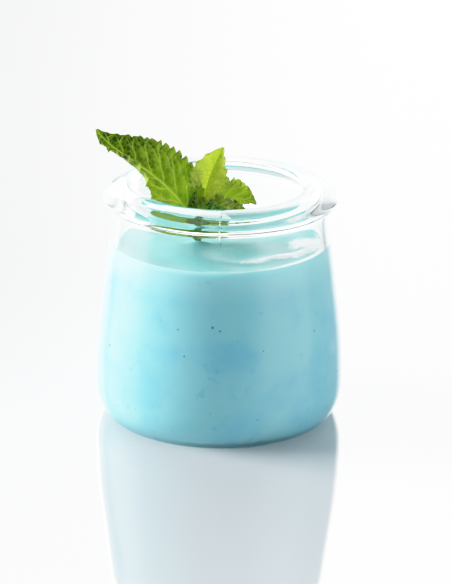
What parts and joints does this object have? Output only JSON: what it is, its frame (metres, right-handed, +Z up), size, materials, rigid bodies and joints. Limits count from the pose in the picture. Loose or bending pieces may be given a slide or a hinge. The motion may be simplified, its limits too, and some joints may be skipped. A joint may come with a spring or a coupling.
{
  "type": "filled glass dessert cup",
  "caption": "Round clear glass dessert cup with a thick rolled rim, filled with pale blue cream and topped with a sprig of mint.",
  "frame": {"origin": "middle of the underside, on the surface the cup stands on", "axes": "+Z up along the cup's axis, -Y to the front, +X to the right; the large mint leaf points to -X"},
  "size_m": [0.07, 0.07, 0.0824],
  "materials": {
    "clear_glass": "clear moulded glass, fire polished",
    "blue_cream": "moist smooth set cream",
    "mint_leaf": "fresh leaf with a soft sheen"
  },
  "bodies": {
    "root": {"glass_cup": "clear_glass", "blue_cream": "blue_cream", "mint_sprig": "mint_leaf"}
  },
  "joints": []
}
